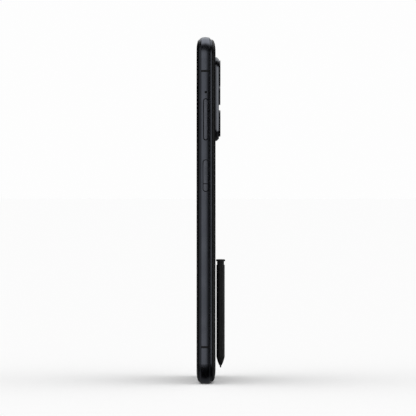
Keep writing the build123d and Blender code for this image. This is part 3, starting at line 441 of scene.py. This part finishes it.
# ---------------------------------------------------------------- inner finishes
def panel_film():
    """The switched-off display: near black, with the faint lattice of its cells."""
    finish = Finish("panel_film", (0.006, 0.0065, 0.008), roughness=0.18)
    columns = stripes(finish, axis_of(finish, 0), 0.3 * mm)
    rows = stripes(finish, axis_of(finish, 2), 0.3 * mm)
    cells = reckon(finish.tree, columns, rows, "MULTIPLY")
    finish.tint(cells, (0.009, 0.01, 0.014))
    finish.drift(20 * mm, 0.06)
    return finish.material


def backing_foil():
    finish = Finish("backing_foil", (0.42, 0.41, 0.4), metallic=1.0, roughness=0.36)
    finish.relief(finish.noise(0.6 * mm, 4.0, stretch=(1.0, 1.0, 0.15)), 0.01 * mm, 0.4)
    finish.drift(12 * mm, 0.12, -0.15)
    return finish.material


def adhesive_foam():
    finish = Finish("adhesive_foam", (0.012, 0.012, 0.012), roughness=0.85, specular=0.2)
    finish.grain(0.12 * mm, 0.03 * mm, 0.8)
    finish.drift(4 * mm, -0.12, 0.4)
    return finish.material


def flex_film():
    """Amber polyimide with copper tracks running lengthwise."""
    finish = Finish("flex_film", (0.32, 0.13, 0.03), roughness=0.38)
    tracks = ramped(finish.tree, stripes(finish, axis_of(finish, 0), 0.42 * mm), 0.55, 0.7)
    finish.tint(tracks, (0.45, 0.2, 0.07))
    finish.relief(tracks, 0.02 * mm, 0.5)
    finish.drift(3 * mm, 0.15, -0.3)
    return finish.material


def sensor_black():
    """Camera module housing: stamped can with a matte black top."""
    finish = Finish("sensor_black", (0.014, 0.014, 0.015), roughness=0.55, specular=0.3)
    finish.drift(2 * mm, 0.15, 0.6)
    finish.grain(0.1 * mm, 0.01 * mm, 0.5)
    return finish.material


def diode_phosphor():
    finish = Finish("diode_phosphor", (0.85, 0.72, 0.2), roughness=0.5)
    centre = middle_of("flash_led")
    ring = radius_about_y(finish, centre.x, centre.z)
    finish.tint(ramped(finish.tree, ring, 0.9 * mm, 1.0 * mm), (0.75, 0.74, 0.7))
    finish.grain(0.12 * mm, 0.02 * mm, 0.6)
    return finish.material


def woven_mesh():
    """Dark acoustic mesh: a lattice of fine wires with open cells."""
    finish = Finish("woven_mesh", (0.012, 0.012, 0.013), metallic=0.2, roughness=0.5, specular=0.2)
    warp = stripes(finish, axis_of(finish, 0), 0.22 * mm)
    weft = stripes(finish, axis_of(finish, 2), 0.22 * mm)
    holes = ramped(finish.tree, reckon(finish.tree, warp, weft, "MULTIPLY"), 0.3, 0.6)
    finish.tint(holes, (0.004, 0.004, 0.004))
    finish.relief(holes, 0.05 * mm, -1.0)
    return finish.material


def circuit_board():
    """Dark solder mask over a maze of tracks, with plated pads."""
    finish = Finish("circuit_board", (0.008, 0.035, 0.022), roughness=0.35)
    maze = wire(
        finish.tree, "ShaderNodeTexVoronoi", {"feature": "F1", "distance": "MANHATTAN"},
        Vector=finish.place, Scale=1.0 / (1.6 * mm),
    )
    tracks = stripes(finish, maze.outputs[0], 0.18)
    finish.tint(ramped(finish.tree, tracks, 0.6, 0.75), (0.02, 0.075, 0.045))
    pads = wire(
        finish.tree, "ShaderNodeTexVoronoi", {"distance": "CHEBYCHEV"},
        Vector=finish.place, Scale=1.0 / (2.3 * mm),
    )
    gold = ramped(finish.tree, pads.outputs[0], 0.17, 0.14)
    finish.tint(gold, (0.62, 0.42, 0.16))
    finish.relief(tracks, 0.02 * mm, 0.5)
    finish.drift(5 * mm, 0.12)
    return finish.material


def shield_tin():
    finish = Finish("shield_tin", (0.55, 0.55, 0.54), metallic=1.0, roughness=0.32)
    dimples = wire(finish.tree, "ShaderNodeTexVoronoi", Vector=finish.place, Scale=1.0 / (1.5 * mm))
    finish.relief(ramped(finish.tree, dimples.outputs[0], 0.1, 0.3), 0.03 * mm, 0.5)
    finish.drift(7 * mm, 0.12, -0.2)
    return finish.material


def chip_resin():
    finish = Finish("chip_resin", (0.018, 0.018, 0.02), roughness=0.5)
    finish.drift(3 * mm, 0.12, 0.5)
    finish.grain(0.15 * mm, 0.01 * mm, 0.5)
    return finish.material


def spreader_graphite():
    finish = Finish("spreader_graphite", (0.07, 0.07, 0.075), metallic=0.7, roughness=0.5)
    finish.relief(finish.noise(0.7 * mm, 4.0, stretch=(1.0, 1.0, 0.2)), 0.02 * mm, 0.5)
    finish.drift(6 * mm, 0.1, 0.4)
    return finish.material


def cell_pouch():
    """The battery's dark foil pouch, slightly pillowed, with a plain grey wrap."""
    finish = Finish("cell_pouch", (0.03, 0.03, 0.032), roughness=0.42)
    finish.relief(finish.noise(9 * mm, 3.0), 0.3 * mm, 0.35)
    finish.relief(finish.noise(0.8 * mm, 3.0), 0.01 * mm, 0.4)
    finish.drift(10 * mm, 0.15, 0.6)
    return finish.material


def coil_copper():
    """Flat-wound copper turns of the charging coil."""
    finish = Finish("coil_copper", (0.6, 0.27, 0.12), metallic=1.0, roughness=0.3)
    centre = middle_of("charging_coil")
    turns = stripes(finish, radius_about_y(finish, centre.x, centre.z), 0.62 * mm)
    finish.relief(turns, 0.12 * mm, 0.9)
    finish.tint(ramped(finish.tree, turns, 0.3, 0.0), (0.12, 0.05, 0.02))
    finish.drift(5 * mm, 0.12)
    return finish.material


def coax_jacket():
    finish = Finish("coax_jacket", (0.02, 0.02, 0.021), roughness=0.45)
    finish.relief(stripes(finish, axis_of(finish, 2), 0.35 * mm), 0.01 * mm, 0.5)
    finish.drift(2 * mm, 0.1, 0.5)
    return finish.material


def port_steel():
    finish = Finish("port_steel", (0.42, 0.42, 0.43), metallic=1.0, roughness=0.27)
    finish.relief(finish.noise(0.4 * mm, 3.0, stretch=(0.2, 1.0, 1.0)), 0.003 * mm, 0.4)
    finish.drift(2 * mm, 0.1, -0.2)
    return finish.material


def tongue_resin():
    finish = Finish("tongue_resin", (0.012, 0.012, 0.013), roughness=0.45)
    finish.drift(1.5 * mm, 0.12, 0.5)
    finish.grain(0.1 * mm, 0.006 * mm, 0.5)
    return finish.material


def contact_gold():
    finish = Finish("contact_gold", (0.8, 0.55, 0.2), metallic=1.0, roughness=0.24)
    finish.drift(0.6 * mm, 0.15, -0.25)
    finish.grain(0.08 * mm, 0.002 * mm, 0.4)
    return finish.material


def box_resin():
    finish = Finish("box_resin", (0.022, 0.022, 0.024), roughness=0.5)
    finish.drift(4 * mm, 0.12, 0.4)
    finish.grain(0.14 * mm, 0.012 * mm, 0.5)
    return finish.material


def motor_steel():
    finish = Finish("motor_steel", (0.5, 0.5, 0.5), metallic=1.0, roughness=0.3)
    finish.relief(finish.noise(0.5 * mm, 3.0, stretch=(0.2, 1.0, 1.0)), 0.004 * mm, 0.4)
    finish.drift(3 * mm, 0.1, -0.2)
    return finish.material


def weight_tungsten():
    finish = Finish("weight_tungsten", (0.2, 0.2, 0.21), metallic=1.0, roughness=0.5)
    finish.grain(0.1 * mm, 0.012 * mm, 0.6)
    finish.drift(2 * mm, 0.12, -0.2)
    return finish.material


def inner_resin():
    finish = Finish("inner_resin", (0.03, 0.03, 0.032), roughness=0.55)
    finish.relief(ramped(finish.tree, finish.noise(6 * mm), 0.45, 0.55), 0.04 * mm, 0.3)
    finish.grain(0.15 * mm, 0.012 * mm, 0.5)
    finish.drift(8 * mm, 0.1, 0.4)
    return finish.material


def screw_steel():
    finish = Finish("screw_steel", (0.32, 0.32, 0.33), metallic=1.0, roughness=0.3)
    finish.relief(stripes(finish, axis_of(finish, 1), 0.3 * mm), 0.01 * mm, 0.5)
    finish.drift(1 * mm, 0.1, -0.3)
    return finish.material


def seal_rubber():
    finish = Finish("seal_rubber", (0.1, 0.012, 0.01), roughness=0.7, specular=0.3)
    finish.grain(0.1 * mm, 0.01 * mm, 0.6)
    finish.drift(1.5 * mm, 0.1, 0.3)
    return finish.material


def silo_resin():
    finish = Finish("silo_resin", (0.012, 0.012, 0.0125), roughness=0.4)
    finish.relief(finish.noise(0.3 * mm, 2.0, stretch=(1.0, 1.0, 0.15)), 0.006 * mm, 0.4)
    finish.drift(5 * mm, 0.12, 0.4)
    return finish.material


def magnet_nickel():
    finish = Finish("magnet_nickel", (0.62, 0.6, 0.56), metallic=1.0, roughness=0.2)
    finish.drift(2 * mm, 0.12, -0.15)
    finish.grain(0.12 * mm, 0.003 * mm, 0.3)
    return finish.material


def core_ferrite():
    finish = Finish("core_ferrite", (0.055, 0.05, 0.048), roughness=0.48)
    winding = stripes(finish, axis_of(finish, 2), 0.3 * mm)
    finish.tint(ramped(finish.tree, winding, 0.5, 0.9), (0.3, 0.13, 0.06))
    finish.relief(winding, 0.03 * mm, 0.7)
    return finish.material


def spring_wire():
    finish = Finish("spring_wire", (0.55, 0.55, 0.56), metallic=1.0, roughness=0.22)
    finish.drift(0.5 * mm, 0.12, -0.2)
    finish.grain(0.05 * mm, 0.001 * mm, 0.3)
    return finish.material


finishes = {
    "front_glass": screen_glass(), "display_panel": panel_film(), "display_backing": backing_foil(),
    "adhesive": adhesive_foam(), "flex": flex_film(), "mid_frame": slate_band(),
    "antenna_breaks": break_plastic(), "rear_cover": satin_cover(), "camera_island": island_metal(),
    "camera_rings": ring_metal(), "lens_glass": lens_cover(), "camera_module": sensor_black(),
    "flash_lens": flash_window(), "flash_led": diode_phosphor(), "front_camera": sensor_black(),
    "mesh": woven_mesh(), "board": circuit_board(), "shield": shield_tin(), "processor": chip_resin(),
    "heat_spreader": spreader_graphite(), "battery": cell_pouch(), "coil": coil_copper(),
    "coax": coax_jacket(), "usb_port": port_steel(), "usb_tongue": tongue_resin(),
    "speaker": box_resin(), "motor_case": motor_steel(), "motor_mass": weight_tungsten(),
    "inner_cover": inner_resin(),
    "screws": screw_steel(), "keys": key_metal(), "sim_tray": tray_metal(), "seal": seal_rubber(),
    "silo": silo_resin(), "magnets": magnet_nickel(), "stylus_body": stylus_black(),
    "stylus_nib": nib_rubber(), "stylus_core": core_ferrite(), "spring": spring_wire(),
}


def dress_frame():
    """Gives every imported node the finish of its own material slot."""
    for node in nodes.values():
        for held in node.material_slots:
            held.material = finishes[held.material.name]


# ---------------------------------------------------------------- pieces finer than the frame
# Sizes in millimetres.
barrel_shoulder = 1.0
pit_depth = 0.4
pit_clearance = 0.04
mouth_clearance = 0.03
macro_mouth_radius = 2.2
macro_mouth_height = 0.4
seat = 0.01               # a piece starts this far above the face it stands on
baffle_steps = 4
baffle_lip = 0.15
baffle_tread = 0.17
baffle_riser = 0.07
dome_clearance = 0.03
dome_edge = 0.05
dome_rise = 0.22
dome_turn = 9             # degrees from one point of the dome's curve to the next
prism_rings = 6
prism_land = 0.4
prism_pitch = 0.38
prism_face = 0.03
prism_depth = 0.09
window_chamfer = 0.06
gauze_inset = 0.75
gauze_steps = 32
contact_count = 12
contact_pitch = 0.5
contact_width = 0.26
contact_thickness = 0.03
contact_length = 3.6
contact_start = 0.35
contact_round = 0.008
crease = math.radians(30)
weld = 0.0005

back_axis = Vector((0.0, 1.0, 0.0))
key_axis = Vector((1.0, 0.0, 0.0))


def settle(bm, name, material, body, stands_for=()):
    """Turns a finished bmesh into a piece that rides on a body."""
    bmesh.ops.remove_doubles(bm, verts=bm.verts, dist=weld * mm)
    bmesh.ops.recalc_face_normals(bm, faces=bm.faces)
    for face in bm.faces:
        face.smooth = True
    for edge in bm.edges:
        edge.smooth = edge.calc_face_angle(0.0) < crease
    mesh = bpy.data.meshes.new(name)
    bm.to_mesh(mesh)
    bm.free()
    mesh.materials.append(material)
    piece = bpy.data.objects.new(name, mesh)
    bpy.context.scene.collection.objects.link(piece)
    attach(piece, body)
    for node in stands_for:
        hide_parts(node)


def turned(outline, centre, axis, across, steps=72):
    """Spins an outline of (radius, height) in millimetres about an axis through centre."""
    bm = bmesh.new()
    verts = []
    for radius, height in outline:
        verts.append(bm.verts.new(centre + across * radius * mm + axis * height * mm))
    edges = [bm.edges.new(pair) for pair in zip(verts, verts[1:])]
    if outline[0][0] or outline[-1][0]:
        edges.append(bm.edges.new((verts[-1], verts[0])))
    bmesh.ops.spin(
        bm, geom=verts + edges, cent=centre, axis=axis, angle=math.tau,
        steps=steps, use_merge=True, use_duplicate=False,
    )
    return bm


def lens_mouth(camera, body, radius, base, mouth):
    """Four stepped baffle rings and a domed front element, between base and mouth."""
    centre = middle_of(f"{camera}_camera_glass")
    centre.y = base
    height = (mouth - base) / mm
    outline = [(radius, seat), (radius, height)]
    for step in range(baffle_steps):
        inner = radius - baffle_lip - baffle_tread * step
        outline.append((inner, height - baffle_riser * step))
        outline.append((inner, height - baffle_riser * (step + 1)))
    outline.append((outline[-1][0], seat))
    rings = turned(outline, centre, back_axis, key_axis)
    settle(rings, f"{camera}_lens_baffle", baffle_black(), body)
    dome = outline[-1][0] - dome_clearance
    curve = [math.radians(turn) for turn in range(0, 91, dome_turn)]
    glass = [(dome * math.sin(turn), dome_edge + dome_rise * math.cos(turn)) for turn in curve]
    glass[-1] = (dome, dome_edge)
    glass += [(dome, seat), (0.0, seat)]
    element = turned(glass, centre, back_axis, key_axis)
    settle(element, f"{camera}_front_element", coated_element(), body)


def lens_mouths():
    """The mouths of the two focusing barrels and of the fixed macro camera."""
    for camera in ("main", "wide"):
        low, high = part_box(f"{camera}_lens_barrel")
        pit_radius = (high.x - low.x) / 2 / mm - barrel_shoulder
        floor = high.y - pit_depth * mm
        mouth = high.y - mouth_clearance * mm
        lens_mouth(camera, f"{camera}_focus", pit_radius - pit_clearance, floor, mouth)
    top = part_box("macro_camera_module")[1].y
    lens_mouth("macro", "phone", macro_mouth_radius, top, top + macro_mouth_height * mm)


def flash_fresnel():
    """The flash lens, with its concentric prism rings."""
    low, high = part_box("flash_lens")
    centre = middle_of("flash_lens")
    centre.y = low.y
    radius = (high.x - low.x) / 2 / mm
    height = (high.y - low.y) / mm
    outline = [(0.0, 0.0), (radius, 0.0)]
    outline += [(radius, height - window_chamfer), (radius - window_chamfer, height)]
    for ring in range(prism_rings):
        crest = radius - prism_land - prism_pitch * ring
        outline.append((crest, height))
        outline.append((crest - prism_face, height - prism_depth))
    outline.append((0.0, height))
    disc = turned(outline, centre, back_axis, key_axis)
    settle(disc, "flash_fresnel", finishes["flash_lens"], "phone", ["flash_lens"])


def microphone_gauze():
    """Black gauze just inside the side microphone's hole."""
    low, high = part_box("microphones")
    centre = Vector((cad_high.x - gauze_inset * mm, 0.0, high.z - 0.25 * (high.y - low.y)))
    outline = [(0.0, 0.0), (0.46, 0.0), (0.46, 0.1), (0.4, 0.13), (0.0, 0.16)]
    gauze = turned(outline, centre, key_axis, back_axis, gauze_steps)
    settle(gauze, "side_microphone_gauze", finishes["mesh"], "phone")


def usb_contacts():
    """Twelve gilt contacts on each face of the port's tongue."""
    low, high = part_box("usb_tongue")
    length = contact_length * mm
    height = low.z + contact_start * mm + length / 2
    shape = Matrix.Diagonal((contact_width * mm, contact_thickness * mm, length, 1.0))
    bm = bmesh.new()
    for face in (low.y, high.y):
        for index in range(contact_count):
            across = (index - (contact_count - 1) / 2) * contact_pitch * mm
            spot = Matrix.Translation((across, face, height))
            bmesh.ops.create_cube(bm, size=1.0, matrix=spot @ shape)
    bmesh.ops.bevel(
        bm, geom=bm.edges, offset=contact_round * mm, offset_type="OFFSET",
        segments=2, profile=0.5, affect="EDGES", material=-1,
    )
    settle(bm, "usb_contacts", contact_gold(), "phone")


# ---------------------------------------------------------------- light, floor and camera
unlit = 0.005             # what gloss sees where no softbox hangs
backdrop_level = 0.985
horizon_level = 0.45      # the dome's light at the horizon, and its gain towards the zenith
zenith_gain = 0.8
floor_size = 6.0
focal_length = 368.0
camera_distance = 2.0
camera_rise = math.radians(0.95)
aim = Vector((30.0, 1.07, 82.7)) * mm


def softbox(tree, angle, low, high, edge, height, bottom, top, rise, strength):
    """A soft-edged window in two angles, in degrees, that only glossy rays see."""
    left = ramped(tree, angle, low - edge, low + edge)
    right = ramped(tree, angle, high - edge, high + edge, 1.0, 0.0)
    under = ramped(tree, height, bottom - rise, bottom + rise)
    over = ramped(tree, height, top - rise, top + rise, 1.0, 0.0)
    across = reckon(tree, left, right, "MULTIPLY")
    upright = reckon(tree, under, over, "MULTIPLY")
    return reckon(tree, reckon(tree, across, upright, "MULTIPLY"), strength, "MULTIPLY")


def degrees_of(tree, rise, run):
    turned_by = wire(tree, "ShaderNodeMath", {"operation": "ARCTAN2"}, i0=rise, i1=run).outputs[0]
    return reckon(tree, turned_by, 180.0 / math.pi, "MULTIPLY")


def hang_studio():
    """A white dome for the floor and the paint, and black flags and softboxes for the gloss."""
    world = bpy.data.worlds.new("studio")
    bpy.context.scene.world = world
    world.use_nodes = True
    world.cycles.sampling_method = "NONE"
    tree = world.node_tree
    tree.nodes.clear()
    ray = wire(tree, "ShaderNodeTexCoord").outputs["Generated"]
    parts = wire(tree, "ShaderNodeSeparateXYZ", Vector=ray)
    x, y, z = parts.outputs
    around = degrees_of(tree, y, x)
    height = reckon(tree, reckon_one(tree, z, "ARCSINE"), 180.0 / math.pi, "MULTIPLY")
    over = degrees_of(tree, z, x)
    across = reckon(tree, reckon_one(tree, y, "ARCSINE"), 180.0 / math.pi, "MULTIPLY")
    boxes = [
        softbox(tree, around, -58.0, 14.0, 15.0, height, -9.0, 42.0, 5.0, 0.54),
        softbox(tree, around, -104.0, -62.0, 10.0, height, -8.0, 50.0, 10.0, 0.2),
        softbox(tree, around, 78.0, 97.0, 4.0, height, -12.0, 15.0, 3.0, 1.4),
        softbox(tree, over, 88.0, 162.0, 5.0, across, -26.0, 42.0, 10.0, 1.2),
        softbox(tree, over, -178.0, -92.0, 10.0, across, -70.0, 70.0, 15.0, 0.1),
    ]
    total = unlit
    for box in boxes:
        total = reckon(tree, box, total)
    gloss = wire(tree, "ShaderNodeBackground", Color=(0.97, 0.985, 1.0, 1.0), Strength=total)
    seen = wire(tree, "ShaderNodeLightPath").outputs["Is Camera Ray"]
    rising = reckon(tree, reckon(tree, z, 0.0, "MAXIMUM"), zenith_gain, "MULTIPLY")
    from_above = reckon(tree, rising, horizon_level)
    dome_light = wire(tree, "ShaderNodeMix", i0=seen, i2=from_above, i3=backdrop_level).outputs[0]
    dome = wire(tree, "ShaderNodeBackground", Color=(1.0, 1.0, 1.0, 1.0), Strength=dome_light)
    glossy = wire(tree, "ShaderNodeLightPath").outputs["Is Glossy Ray"]
    chosen = wire(tree, "ShaderNodeMixShader", i0=glossy, i1=dome.outputs[0], i2=gloss.outputs[0])
    wire(tree, "ShaderNodeOutputWorld", Surface=chosen.outputs[0])


def lay_floor():
    """A wide pale floor just under the phone's foot."""
    bm = bmesh.new()
    bmesh.ops.create_grid(bm, x_segments=4, y_segments=4, size=floor_size)
    bmesh.ops.translate(bm, verts=bm.verts, vec=(0.0, 0.0, cad_low.z))
    mesh = bpy.data.meshes.new("floor")
    bm.to_mesh(mesh)
    bm.free()
    floor = bpy.data.objects.new("floor", mesh)
    bpy.context.scene.collection.objects.link(floor)
    paint = Finish("floor_paint", (0.985, 0.985, 0.985), roughness=1.0, specular=0.0)
    mesh.materials.append(paint.material)
    floor.visible_glossy = False


def set_camera():
    """A long lens square on the key side, a little above the phone's middle."""
    lens = bpy.data.cameras.new("camera")
    lens.sensor_width = 36.0
    lens.lens = focal_length
    lens.clip_end = 50.0
    camera = bpy.data.objects.new("camera", lens)
    bpy.context.scene.collection.objects.link(camera)
    bpy.context.scene.camera = camera
    away = Vector((math.cos(camera_rise), 0.0, math.sin(camera_rise)))
    camera.location = aim + camera_distance * away
    camera.rotation_euler = away.to_track_quat("Z", "Y").to_euler()


dress_frame()
lens_mouths()
flash_fresnel()
microphone_gauze()
usb_contacts()
hang_studio()
lay_floor()
set_camera()
bpy.context.scene.view_settings.view_transform = "Standard"
